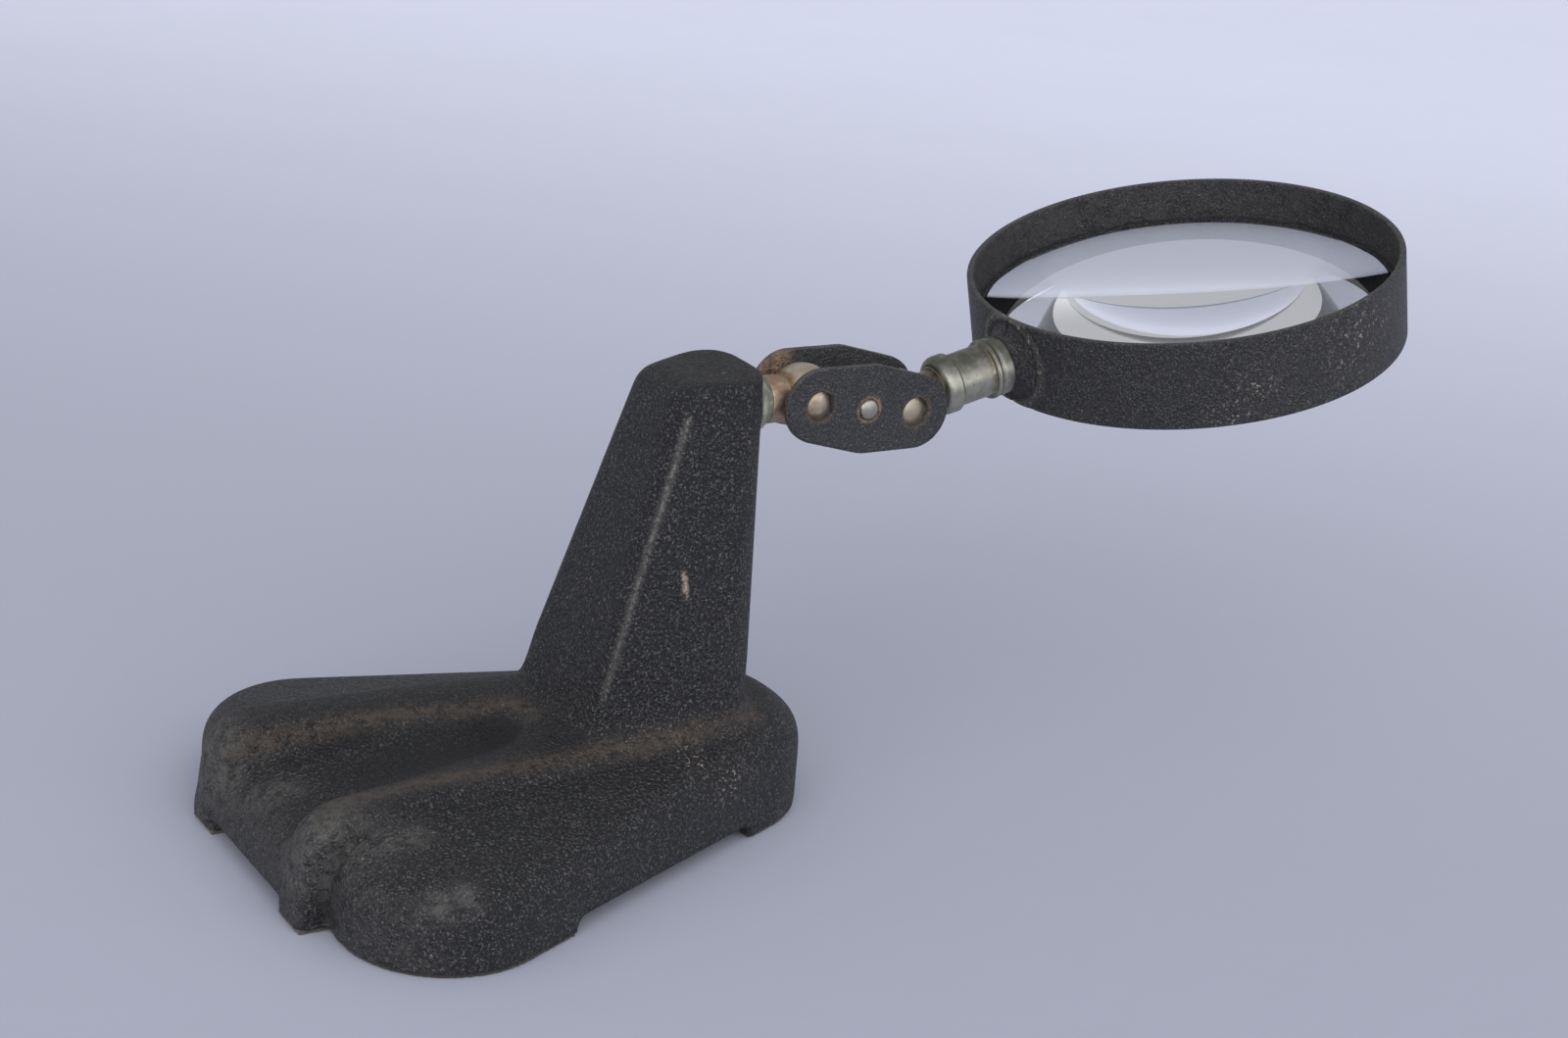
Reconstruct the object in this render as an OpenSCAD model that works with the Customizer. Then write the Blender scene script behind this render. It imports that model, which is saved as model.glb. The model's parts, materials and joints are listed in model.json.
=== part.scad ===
// Table magnifier: a cast foot and column in one piece, a clamp link of two plates that
// grips two balls, and a lens in a split band. X points from the column towards the lens,
// Y is across and Z is up. The origin is on the table, below the middle of the whole
// magnifier. Parts are laid out from the middle of the foot and then moved to the origin.

/* [Foot] */
// Radius of the two rounded corners at the wide end
corner_r = 24.7; // [22:0.1:27]
// Distance from the middle of the foot back to the centres of those corners
corner_x = 38.4; // [35:0.1:43]
// Sideways distance from the middle of the foot to each corner centre
corner_y = 37.7; // [35:0.1:41]
// Height of the side wall at the wide corners
corner_h = 18; // [16:0.1:20]
// Radius of the round nose under the arm
nose_r = 26.1; // [25:0.1:29]
// Distance from the middle of the foot forward to the centre of the nose
nose_x = 42.5; // [39:0.1:47]
// Height of the foot at the nose
nose_h = 25; // [23:0.1:27]
// Radius of the rounded edge along the top of the foot
foot_edge_r = 8; // [5:0.1:9]
// Thickness of the cast walls
wall = 5; // [4.5:0.1:6]
// Height of the hollow under the foot at its wide end
hollow_h = 9; // [6:0.1:9.5]
// Height of the relief between the standing pads
relief_h = 3; // [2:0.1:4]
// Thickness of the felt under each pad
felt_t = 0.8; // [0.5:0.1:1.5]

/* [Ribs] */
// Sideways distance from the middle of the foot to the middle of each rib at its end
rib_y = 25.4; // [24.4:0.1:27]
// Width of a rib at its end
rib_w = 12.8; // [11:0.1:14]
// Height of the ribs above the table at the wide end
rib_h = 26.5; // [25:0.1:28]
// Radius over which a rib turns down towards the table
rib_turn_r = 11.6; // [9:0.1:11.7]
// Distance that the standing end of a rib stands out beyond the foot
rib_out = 6.8; // [5:0.1:9]
// Distance that a rib leans out on its way down to the table
rib_lean = 1.4; // [0.5:0.1:2.5]
// Height of the ribs beside the column
rib_root_h = 28.6; // [27.5:0.1:30]
// Radius of the rounded edges along a rib
rib_edge_r = 3.5; // [2:0.1:4]
// Height of the foot between the ribs at its open end
valley_h = 17.5; // [16.5:0.1:20]
// Radius over which the foot turns down between the ribs
valley_turn_r = 10; // [7:0.1:12]
// Half of the valley's width at its open end
valley_front_r = 18.8; // [18:0.1:20]
// Half of the valley's width where its round end begins
valley_root_r = 11.2; // [9:0.1:12]
// Distance from the column to the valley's round end
valley_gap = 4.5; // [3:0.1:8]
// Depth of the valley as a share of its half width
valley_depth = 0.5; // [0.35:0.01:0.55]

/* [Column] */
// Height of the ball stud's axis above the table
arm_z = 98.1; // [88:0.1:115]
// Height of the column above the stud's axis
column_over = 8.8; // [8.4:0.1:14]
// Distance from the middle of the foot to the column's back, where the stud leaves it
column_back_x = 50.3; // [48:0.1:52]
// Length of the column along X at the foot
column_base_l = 48.5; // [45:0.1:51]
// Length of the column along X at the top
column_top_l = 25.3; // [24:0.1:27]
// Width of the column at the foot
column_base_w = 42.4; // [39:0.1:43]
// Width of the column at the top
column_top_w = 27.4; // [26:0.1:30]
// Radius of the column's two front edges
column_edge_r = 3.5; // [2:0.1:5]
// Radius of the column's two back edges at the foot
back_base_r = 14; // [10:0.1:16]
// Radius of the column's two back edges at the top
back_top_r = 9.6; // [7:0.1:12]
// Radius of the rounded edges at the front and sides of the column's top
column_top_r = 7; // [5:0.1:8]
// Radius of the rounded edge at the back of the column's top
back_edge_r = 2; // [1:0.1:3]
// Height of the flat seat for the stud on the column's rounded back
seat_out = 0.2; // [0.1:0.1:0.5]

/* [Ball studs] */
// Radius of both balls
ball_r = 7.8; // [7.4:0.1:8.2]
// Distance from the column to the centre of its ball
stud_l = 15.1; // [14.5:0.1:19]
// Radius of the conical collar where it meets the column
flare_r = 7.6; // [6.5:0.1:7.8]
// Length of the conical collar
flare_l = 4; // [3:0.1:4.6]
// Radius of the neck behind the ball at the column
neck_r = 5.6; // [4.5:0.1:5.8]
// Radius of the threaded shank of either stud
shank_r = 3; // [2.5:0.1:3.2]
// Radius of the neck behind the ball at the lens
lens_neck_r = 4.6; // [4:0.1:5]
// Distance from the ball at the lens to its round collar
collar_x = 10.6; // [10.2:0.1:12]
// Length of the round collar
collar_l = 4.7; // [4:0.1:6]
// Radius of the round collar
collar_r = 7.25; // [7:0.05:8]
// Radius of the round collar's edge towards the ball
collar_edge_r = 2.2; // [1:0.1:2.5]

/* [Stud nut] */
// Distance across the flats of the nut inside the column
nut_af = 10; // [9:0.1:10]
// Height of that nut
nut_h = 4; // [3:0.1:4.5]
// Radius of the washer under the nut
nut_washer_r = 5.6; // [5.4:0.1:5.8]
// Thickness of both washers
washer_t = 1; // [0.8:0.1:1.5]
// Length of thread that stands out of the nut
thread_out = 1; // [0.5:0.1:1.5]

/* [Clamp link] */
// Distance from ball to ball
link_l = 27; // [25:0.1:32]
// Thickness of a plate
plate_t = 1.9; // [1.5:0.1:2.5]
// Radius of a plate's round ends
plate_end_r = 9; // [8.5:0.1:9.4]
// Half of a plate's height at its middle
plate_mid_r = 10.8; // [10:0.1:12]
// Radius of the hole that seats a ball
ball_hole_r = 3.5; // [3:0.1:4]
// Depth of the seat worn into a hole's inner edge
seat_depth = 0.15; // [0.1:0.05:0.3]
// Radius of the clamp screw
screw_r = 2.45; // [2:0.05:3]
// Length of screw that stands out of the front plate
screw_out = 0.5; // [0.3:0.1:1.5]
// Radius of the clamp screw's head
head_r = 6.5; // [5.8:0.1:7]
// Height of that head
head_h = 5; // [4:0.1:6]
// Radius of the washer under the head
clamp_washer_r = 5.5; // [4.5:0.1:5.8]
// Downward angle of the link at rest
link_pitch = 8.2; // [0:0.1:12]
// Upward angle of the lens at rest
lens_pitch = 12.9; // [5:0.1:15]

/* [Sleeve] */
// Radius of the sleeve
sleeve_r = 6.4; // [6.2:0.1:6.8]
// Thickness of the sleeve's wall
sleeve_t = 0.9; // [0.7:0.1:1.1]
// Length of the sleeve
sleeve_l = 14.6; // [13:0.1:18]
// Distance from the sleeve's band end to the middle of its raised bead
bead_x = 4.2; // [3.8:0.1:6]
// Height of the bead above the sleeve
bead_h = 1; // [0.9:0.1:1.2]
// Half of the bead's width
bead_half_w = 0.9; // [0.6:0.1:1.2]
// Height of the sleeve's end band above the sleeve
end_band_h = 0.8; // [0.4:0.1:0.8]
// Radius of the swivel pin
pin_r = 0.6; // [0.5:0.1:0.8]
// Distance from the sleeve's band end to the swivel pin
pin_x = 2.6; // [2:0.1:3]
// Angle at which the swivel pin enters, down from the side
pin_turn = 9; // [0:1:20]
// Depth of the groove that the pin runs in
groove_depth = 0.8; // [0.5:0.1:1]

/* [Lens and band] */
// Radius of the lens
lens_r = 52; // [46:0.5:58]
// Radius of curvature of both faces of the lens
lens_face_r = 155; // [140:1:260]
// Thickness of the lens at its edge
lens_edge_t = 2.6; // [2:0.1:4]
// Distance that the lens sits below the middle of the band
lens_drop = 1.8; // [0:0.1:3]
// Thickness of the band
band_t = 1.7; // [1.4:0.1:2.2]
// Height of the band
band_h = 21.9; // [20.5:0.1:26]
// Radial thickness of the rings that hold the lens
hoop_t = 0.8; // [0.6:0.1:1.2]
// Height of the rings that hold the lens
hoop_h = 0.9; // [0.8:0.1:2]
// Length of the band's neck between the sleeve and the band
neck_l = 2.9; // [2.5:0.1:5]
// Radius of the band's neck at the sleeve
band_neck_r = 6.3; // [5.8:0.1:6.5]
// Radius of the neck's flare where it runs into the band
neck_flare_r = 9.6; // [9:0.1:10]
// Width of the split between the band's two ends
split_w = 0.5; // [0.4:0.1:0.8]

/* [Clearances] */
// Gap of a running fit, and between faces that turn on each other
fit_gap = 0.06; // [0.04:0.01:0.08]
// Gap round the lens inside its band
lens_gap = 0.3; // [0.2:0.05:0.4]

/* [Hidden] */

enamel_black = [0.16, 0.16, 0.18];
felt_tan = [0.55, 0.47, 0.36];
worn_nickel = [0.62, 0.60, 0.54];
coppery = [0.55, 0.42, 0.34];
steel = [0.5, 0.5, 0.52];
clear_glass = [0.85, 0.9, 0.95, 0.4];

smooth = 96;
medium = 64;
soft = 32;
over = 1;

// Foot: standing height, the ends of the ribs and the lines that they follow
foot_z = felt_t;
foot_back_x = -corner_x - corner_r;
rib_front_x = foot_back_x - rib_out;
rib_root_x = nose_x - 12;
rib_root_r = 8;
plinth_inset = 3.5;
rib_root_y = nose_r - rib_root_r - plinth_inset;
plinth_h = rib_root_h - 1;
shoulder_inset = 2;
pad_front_x = -corner_x + corner_r;
nose_pad_x = nose_x + 1;
hollow_nose_h = nose_h - wall - 2;
felt_inset = 0.6;
rib_inner_y = rib_y - rib_w / 2;
rib_outer_y = rib_y + rib_w / 2;

// Valley: its axis runs along the tops of the ribs, from the column to the open end
block_back_x = column_back_x - column_base_l + 1;
valley_root_x = column_back_x - column_base_l - valley_gap - valley_root_r;
valley_l = valley_root_x - rib_front_x;
valley_tilt = atan((rib_root_h - rib_h) / valley_l);

// Column: its front edges lean, and its hollow narrows upwards
column_top_z = arm_z + column_over;
column_root_z = foot_z + corner_h;
pocket_z = foot_z + 6;
pocket_top_z = arm_z + nut_washer_r + 0.5;
pocket_h = pocket_top_z - pocket_z;
pocket_base_l = column_base_l - 2 * wall;
pocket_top_l = column_top_l - 2.2 * wall;
pocket_base_w = column_base_w - 3 * wall;
pocket_top_w = column_top_w - 2.2 * wall;
pocket_back_x = column_back_x - wall;

// Stud at the column
seat_x = column_back_x + seat_out;
stud_face_x = seat_x + fit_gap;
stud_neck_x = stud_face_x + flare_l + fit_gap;
ball_x = column_back_x + stud_l;
stud_bore_r = shank_r + fit_gap;
nut_x = pocket_back_x - 2 * fit_gap - washer_t;
shank_end_x = nut_x - nut_h - thread_out;

// Clamp link: the plates stand off so that each hole's inner edge seats on the balls
seat_r = ball_r + fit_gap;
plate_in = sqrt(seat_r * seat_r - ball_hole_r * ball_hole_r) - seat_depth;
plate_out = plate_in + plate_t;
plate_slope = asin((plate_mid_r - plate_end_r) / (link_l / 2));
head_y = plate_out + washer_t + 2 * fit_gap;
head_edge = 0.6;

// Lens arm, measured from the ball at the lens along the arm
sleeve_x = collar_x + collar_l + fit_gap;
sleeve_end_x = sleeve_x + sleeve_l;
band_inner_r = lens_r + lens_gap;
band_outer_r = band_inner_r + band_t;
band_neck_x = sleeve_end_x + fit_gap;
ring_x = sleeve_end_x + neck_l + band_outer_r;
tail_x = sleeve_x + 2;
tail_r = sleeve_r - sleeve_t - fit_gap;
lens_shank_end_x = sleeve_end_x + neck_l / 2;
pin_at = sleeve_end_x - pin_x;
groove_r = shank_r - groove_depth;
groove_half_w = pin_r + 2 * fit_gap;
pin_in_r = groove_r + 2 * fit_gap;
pin_out_r = sleeve_r + end_band_h;

// Lens: height of a face at a given radius, and where the rings sit on it
function lens_z(r) = lens_edge_t / 2 + sqrt(lens_face_r * lens_face_r - r * r)
    - sqrt(lens_face_r * lens_face_r - lens_r * lens_r);
hoop_in_r = band_inner_r - fit_gap - hoop_t;
hoop_z = lens_z(hoop_in_r) + fit_gap;

// The origin: midway between the ends of the ribs and the far side of the band
lens_centre_x = ball_x + link_l * cos(link_pitch) + ring_x * cos(lens_pitch);
far_x = lens_centre_x + band_outer_r * cos(lens_pitch) + band_h / 2 * sin(lens_pitch);
origin_x = (rib_front_x + far_x) / 2;

// Moves the children from the foot's own layout to the origin of the whole
module place() {
    translate([-origin_x, 0, 0]) children();
}

// Places the children in the frame of the clamp link: origin at the column's ball
module at_link() {
    place() translate([ball_x, 0, arm_z]) rotate([0, link_pitch, 0]) children();
}

// Places the children in the frame of the lens arm: origin at the ball at the lens
module at_lens_arm() {
    at_link() translate([link_l, 0, 0]) rotate([0, -link_pitch - lens_pitch, 0]) children();
}

// Places the children at the middle of the lens, in the lens's own plane
module at_lens() {
    at_lens_arm() translate([ring_x, 0, -lens_drop]) children();
}

// A rod along +X that starts at the given distance
module rod(x, r, l) {
    translate([x, 0, 0]) rotate([0, 90, 0]) cylinder(r = r, h = l, $fn = smooth);
}

// A body of revolution about the X axis from an outline of [distance, radius] points
module turned(outline) {
    rotate([0, 90, 0]) rotate_extrude($fn = smooth) polygon([for (p = outline) [p[1], p[0]]]);
}

// A disc with a rounded upper edge, standing on z = 0
module soft_disc(r, h, edge) {
    rotate_extrude($fn = medium)
        polygon(concat([[0, 0], [r, 0]],
            [for (a = [0:15:90]) [r - edge + edge * cos(a), h - edge + edge * sin(a)]],
            [[0, h]]));
}

// A wheel about a Y axis with rounded edges, for the end where a rib turns down
module soft_wheel(r, w, edge) {
    rotate([90, 0, 0])
        rotate_extrude($fn = medium)
            polygon(concat([[0, -w / 2]],
                [for (a = [-90:15:0]) [r - edge + edge * cos(a), edge - w / 2 + edge * sin(a)]],
                [for (a = [0:15:90]) [r - edge + edge * cos(a), w / 2 - edge + edge * sin(a)]],
                [[0, w / 2]]));
}

// The outline of the foot in plan, drawn in from its outer wall
module foot_outline(inset) {
    hull() {
        for (side = [-1, 1])
            translate([-corner_x, side * corner_y]) circle(corner_r - inset, $fn = medium);
        translate([nose_x, 0]) circle(nose_r - inset, $fn = medium);
    }
}

// One side of the foot: from the crest beside a rib down to the rounded outer wall
module lobe(side) {
    hull() {
        translate([-corner_x, side * corner_y, foot_z])
            soft_disc(corner_r, corner_h, foot_edge_r);
        translate([nose_x, 0, foot_z]) soft_disc(nose_r, nose_h - foot_z, foot_edge_r);
        translate([foot_back_x + rib_turn_r, side * rib_y, rib_h - shoulder_inset - rib_edge_r])
            sphere(rib_edge_r, $fn = soft);
        translate([rib_root_x, side * rib_root_y, rib_root_h - shoulder_inset - rib_edge_r])
            sphere(rib_edge_r, $fn = soft);
    }
}

// One rib: level along its top, then turned down to a standing foot
module rib(side) {
    hull() {
        translate([rib_front_x + rib_lean + rib_turn_r, side * rib_y, rib_h - rib_turn_r])
            soft_wheel(rib_turn_r, rib_w, rib_edge_r);
        for (edge = [rib_inner_y + rib_edge_r, rib_outer_y - rib_edge_r])
            translate([rib_front_x + rib_edge_r, side * edge, foot_z])
                cylinder(r = rib_edge_r, h = relief_h, $fn = soft);
        translate([rib_root_x, side * rib_root_y, foot_z])
            soft_disc(rib_root_r, rib_root_h - foot_z, rib_edge_r);
    }
}

// The block between the ribs, which rises towards the column
module middle_block() {
    hull() {
        intersection() {
            translate([rib_front_x + rib_lean + valley_turn_r, 0, valley_h - valley_turn_r])
                rotate([90, 0, 0])
                    cylinder(r = valley_turn_r, h = 2 * rib_inner_y, center = true, $fn = medium);
            translate([rib_front_x, -rib_y, foot_z]) cube([valley_h, 2 * rib_y, valley_h]);
        }
        translate([rib_front_x, -rib_inner_y, foot_z])
            cube([valley_turn_r, 2 * rib_inner_y, over]);
        translate([block_back_x, -rib_root_y, foot_z])
            cube([over, 2 * rib_root_y, rib_root_h - foot_z]);
    }
}

// The valley cut between the ribs: round in section, with a round end at the column
module valley() {
    translate([valley_root_x, 0, rib_root_h - 1])
        rotate([0, -valley_tilt, 0]) scale([1, 1, valley_depth]) {
            sphere(valley_root_r, $fn = medium);
            rotate([0, -90, 0])
                cylinder(r1 = valley_root_r, r2 = valley_front_r, h = valley_l + over, $fn = medium);
        }
}

// The plinth round the column's back, which joins the two ribs
module plinth() {
    translate([nose_x, 0, foot_z])
        soft_disc(nose_r - plinth_inset, plinth_h - foot_z, foot_edge_r);
}

// The column: upright at the back, leaning at the front, rounded over the top
module column() {
    front_base_x = column_back_x - column_base_l + column_edge_r;
    front_top_x = column_back_x - column_top_l + column_top_r;
    hull() {
        for (side = [-1, 1]) {
            translate([front_base_x, side * (column_base_w / 2 - column_edge_r), column_root_z])
                sphere(column_edge_r, $fn = soft);
            translate([front_top_x, side * (column_top_w / 2 - column_top_r),
                column_top_z - column_top_r])
                sphere(column_top_r, $fn = soft);
            translate([column_back_x - back_base_r, side * (column_base_w / 2 - back_base_r),
                column_root_z])
                cylinder(r = back_base_r, h = over, $fn = medium);
            translate([column_back_x - back_top_r, side * (column_top_w / 2 - back_top_r),
                column_top_z - column_top_r])
                soft_disc(back_top_r, column_top_r, back_edge_r);
        }
    }
}

// The flat round seat on the column's back that the stud's collar turns on
module stud_seat() {
    translate([0, 0, arm_z]) rod(pocket_back_x + over, flare_r, seat_x - pocket_back_x - over);
}

// The hollow under the foot, a wall inside the outer shape and higher at the nose
module hollow() {
    hull() {
        for (side = [-1, 1])
            translate([-corner_x, side * corner_y, -over])
                cylinder(r = corner_r - wall, h = hollow_h + over, $fn = medium);
        translate([nose_x, 0, -over])
            cylinder(r = nose_r - wall, h = hollow_nose_h + over, $fn = medium);
    }
}

// The hollow inside the column, open to the hollow of the foot
module pocket() {
    translate([pocket_back_x, 0, pocket_z])
        linear_extrude(height = pocket_h,
            scale = [pocket_top_l / pocket_base_l, pocket_top_w / pocket_base_w])
            translate([-pocket_base_l, -pocket_base_w / 2])
                square([pocket_base_l, pocket_base_w]);
}

// The space under the foot between its standing pads
module pad_relief() {
    reach = corner_y + corner_r + over;
    translate([pad_front_x, -reach, -over])
        cube([nose_pad_x - pad_front_x, 2 * reach, over + foot_z + relief_h]);
    translate([rib_front_x - over, -rib_inner_y, -over])
        cube([corner_r, 2 * rib_inner_y, over + foot_z + relief_h]);
}

module base_casting() {
    color(enamel_black) place()
        difference() {
            union() {
                difference() {
                    union() {
                        for (side = [-1, 1]) {
                            lobe(side);
                            rib(side);
                        }
                        middle_block();
                        plinth();
                    }
                    valley();
                }
                column();
                stud_seat();
            }
            hollow();
            pocket();
            pad_relief();
            translate([0, 0, arm_z]) rod(pocket_back_x - over, stud_bore_r, wall + 2 * over);
        }
}

// The band of felt below the wall of the foot
module wall_felt() {
    linear_extrude(height = felt_t)
        difference() {
            foot_outline(felt_inset);
            foot_outline(wall - felt_inset);
        }
}

module rib_foot_felts() {
    felt_l = foot_back_x + wall - rib_front_x - 2 * felt_inset;
    color(felt_tan) place()
        for (side = [-1, 1])
            translate([rib_front_x + felt_inset + felt_l / 2, side * rib_y, felt_t / 2])
                cube([felt_l, rib_w - 2 * felt_inset, felt_t], center = true);
}

module lobe_felts() {
    clip_w = corner_y + corner_r - rib_outer_y;
    color(felt_tan) place()
        for (side = [-1, 1])
            intersection() {
                wall_felt();
                translate([foot_back_x, side * (rib_outer_y + clip_w / 2) - clip_w / 2, -over])
                    cube([pad_front_x - felt_inset - foot_back_x, clip_w, 2 * over + felt_t]);
            }
}

module nose_felt() {
    color(felt_tan) place()
        intersection() {
            wall_felt();
            translate([nose_pad_x + felt_inset, -nose_r, -over])
                cube([nose_r, 2 * nose_r, 2 * over + felt_t]);
        }
}

module base_ball_stud() {
    color(coppery) place() translate([ball_x, 0, arm_z]) {
        sphere(ball_r, $fn = medium);
        rod(stud_neck_x - ball_x, neck_r, ball_x - stud_neck_x);
        rod(shank_end_x - ball_x, shank_r, ball_x - shank_end_x);
    }
}

module base_stud_collar() {
    color(worn_nickel) place() translate([stud_face_x, 0, arm_z])
        difference() {
            rotate([0, 90, 0]) cylinder(r1 = flare_r, r2 = neck_r, h = flare_l, $fn = smooth);
            rod(-over, stud_bore_r, flare_l + 2 * over);
        }
}

module base_stud_washer() {
    color(steel) place() translate([nut_x + fit_gap, 0, arm_z])
        difference() {
            rod(0, nut_washer_r, washer_t);
            rod(-over, stud_bore_r, washer_t + 2 * over);
        }
}

module base_stud_nut() {
    color(steel) place() translate([nut_x - nut_h, 0, arm_z])
        difference() {
            rotate([30, 0, 0]) rotate([0, 90, 0]) cylinder(r = nut_af / 2 / cos(30), h = nut_h, $fn = 6);
            rod(-over, stud_bore_r, nut_h + 2 * over);
        }
}

// One plate of the link: round ends, wider in the middle, seated on both balls
module plate(side) {
    near_y = side * (plate_in + plate_t / 2) - plate_t / 2;
    ends = [for (e = [[0, -1, plate_end_r], [link_l / 2, -1, plate_mid_r],
            [link_l / 2, 1, plate_mid_r], [link_l, 1, plate_end_r]])
        [e[0] + e[1] * e[2] * sin(plate_slope), e[2] * cos(plate_slope)]];
    difference() {
        translate([0, near_y, 0]) rotate([-90, 0, 0]) {
            cylinder(r = plate_end_r, h = plate_t, $fn = smooth);
            translate([link_l, 0, 0]) cylinder(r = plate_end_r, h = plate_t, $fn = smooth);
            translate([link_l / 2, 0, 0]) cylinder(r = plate_mid_r, h = plate_t, $fn = smooth);
            linear_extrude(height = plate_t)
                polygon(concat(ends, [for (i = [3:-1:0]) [ends[i][0], -ends[i][1]]]));
        }
        for (x = [0, link_l]) {
            translate([x, 0, 0]) sphere(seat_r, $fn = medium);
            translate([x, near_y - over, 0]) rotate([-90, 0, 0])
                cylinder(r = ball_hole_r, h = plate_t + 2 * over, $fn = smooth);
        }
        translate([link_l / 2, near_y - over, 0]) rotate([-90, 0, 0])
            cylinder(r = screw_r + fit_gap, h = plate_t + 2 * over, $fn = smooth);
    }
}

module front_plate() {
    color(enamel_black) at_link() plate(-1);
}

module rear_plate() {
    color(enamel_black) at_link() plate(1);
}

module clamp_screw() {
    color(worn_nickel) at_link() translate([link_l / 2, 0, 0]) rotate([-90, 0, 0]) {
        translate([0, 0, -plate_out - screw_out])
            cylinder(r = screw_r, h = plate_out + screw_out + head_y + over, $fn = smooth);
        translate([0, 0, head_y])
            rotate_extrude($fn = smooth)
                polygon([[0, 0], [head_r - head_edge, 0], [head_r, head_edge],
                    [head_r, head_h - head_edge], [head_r - head_edge, head_h], [0, head_h]]);
    }
}

module clamp_washer() {
    color(steel) at_link() translate([link_l / 2, plate_out + fit_gap, 0]) rotate([-90, 0, 0])
        difference() {
            cylinder(r = clamp_washer_r, h = washer_t, $fn = smooth);
            translate([0, 0, -over])
                cylinder(r = screw_r + fit_gap, h = washer_t + 2 * over, $fn = smooth);
        }
}

module lens_ball_stud() {
    color(worn_nickel) at_lens_arm() {
        sphere(ball_r, $fn = medium);
        rod(0, lens_neck_r, collar_x - fit_gap);
        rod(0, groove_r, lens_shank_end_x);
        rod(0, shank_r, pin_at - groove_half_w);
        rod(pin_at + groove_half_w, shank_r, lens_shank_end_x - pin_at - groove_half_w);
    }
}

module lens_stud_collar() {
    end_x = collar_x + collar_l;
    color(worn_nickel) at_lens_arm()
        turned(concat([[collar_x, stud_bore_r]],
            [for (a = [90:-15:0]) [collar_x + collar_edge_r * (1 - sin(a)),
                collar_r - collar_edge_r + collar_edge_r * cos(a)]],
            [[end_x, collar_r], [end_x, stud_bore_r]]));
}

// The hole for the swivel pin through the sleeve and the band's tail
module pin_hole() {
    translate([pin_at, 0, 0]) rotate([90 + pin_turn, 0, 0])
        cylinder(r = pin_r + fit_gap, h = pin_out_r + over, $fn = soft);
}

module neck_sleeve() {
    bead_at = sleeve_end_x - bead_x;
    end_band_r = sleeve_r + end_band_h;
    color(worn_nickel) at_lens_arm()
        difference() {
            turned(concat([[sleeve_x, sleeve_r - sleeve_t], [sleeve_x, sleeve_r]],
                [for (a = [180:-20:0]) [bead_at + bead_half_w * cos(a), sleeve_r + bead_h * sin(a)]],
                [[bead_at + bead_half_w, end_band_r], [sleeve_end_x, end_band_r],
                [sleeve_end_x, sleeve_r - sleeve_t]]));
            pin_hole();
        }
}

module sleeve_pin() {
    color(steel) at_lens_arm() translate([pin_at, 0, 0]) rotate([90 + pin_turn, 0, 0])
        translate([0, 0, pin_in_r]) cylinder(r = pin_r, h = pin_out_r - pin_in_r, $fn = soft);
}

// The neck that joins the band's two ends: a tail inside the sleeve, then a flare
module band_neck() {
    flare_x = ring_x - band_outer_r - band_neck_x;
    flare_h = neck_flare_r - band_neck_r;
    turned(concat([[tail_x, 0], [tail_x, tail_r], [band_neck_x, tail_r]],
        [for (a = [0:15:90]) [band_neck_x + flare_x * sin(a), band_neck_r + flare_h * (1 - cos(a))]],
        [[ring_x - band_outer_r + 2 * band_t, neck_flare_r], [ring_x - band_outer_r + 2 * band_t, 0]]));
}

module ring_band() {
    color(enamel_black) at_lens_arm()
        difference() {
            union() {
                translate([ring_x, 0, 0])
                    cylinder(r = band_outer_r, h = band_h, center = true, $fn = 2 * smooth);
                band_neck();
            }
            translate([ring_x, 0, 0])
                cylinder(r = band_inner_r, h = band_h + 2 * over, center = true, $fn = 2 * smooth);
            rod(tail_x - over, stud_bore_r, lens_shank_end_x + 3 * fit_gap - tail_x + over);
            translate([tail_x - over, -split_w / 2, -band_h])
                cube([ring_x - band_inner_r - tail_x + 3 * over, split_w, 2 * band_h]);
            pin_hole();
        }
}

module lens() {
    steps = 14;
    color(clear_glass) at_lens()
        rotate_extrude($fn = smooth)
            polygon(concat([for (i = [0:steps]) [lens_r * i / steps, -lens_z(lens_r * i / steps)]],
                [for (i = [steps:-1:0]) [lens_r * i / steps, lens_z(lens_r * i / steps)]]));
}

// A ring that holds the lens from one side
module lens_ring(side) {
    at_lens()
        translate([0, 0, side * (hoop_z + hoop_h / 2)])
            difference() {
                cylinder(r = band_inner_r - fit_gap, h = hoop_h, center = true, $fn = 2 * smooth);
                cylinder(r = hoop_in_r, h = hoop_h + 2 * over, center = true, $fn = 2 * smooth);
            }
}

module upper_lens_ring() {
    color(enamel_black) lens_ring(1);
}

module lower_lens_ring() {
    color(enamel_black) lens_ring(-1);
}

base_casting();
rib_foot_felts();
lobe_felts();
nose_felt();
base_ball_stud();
base_stud_collar();
base_stud_washer();
base_stud_nut();
front_plate();
rear_plate();
clamp_screw();
clamp_washer();
lens_ball_stud();
lens_stud_collar();
neck_sleeve();
sleeve_pin();
ring_band();
lens();
upper_lens_ring();
lower_lens_ring();
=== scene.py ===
import json
import math

import bpy
import numpy as np
from mathutils import Matrix, Vector, noise


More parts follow.
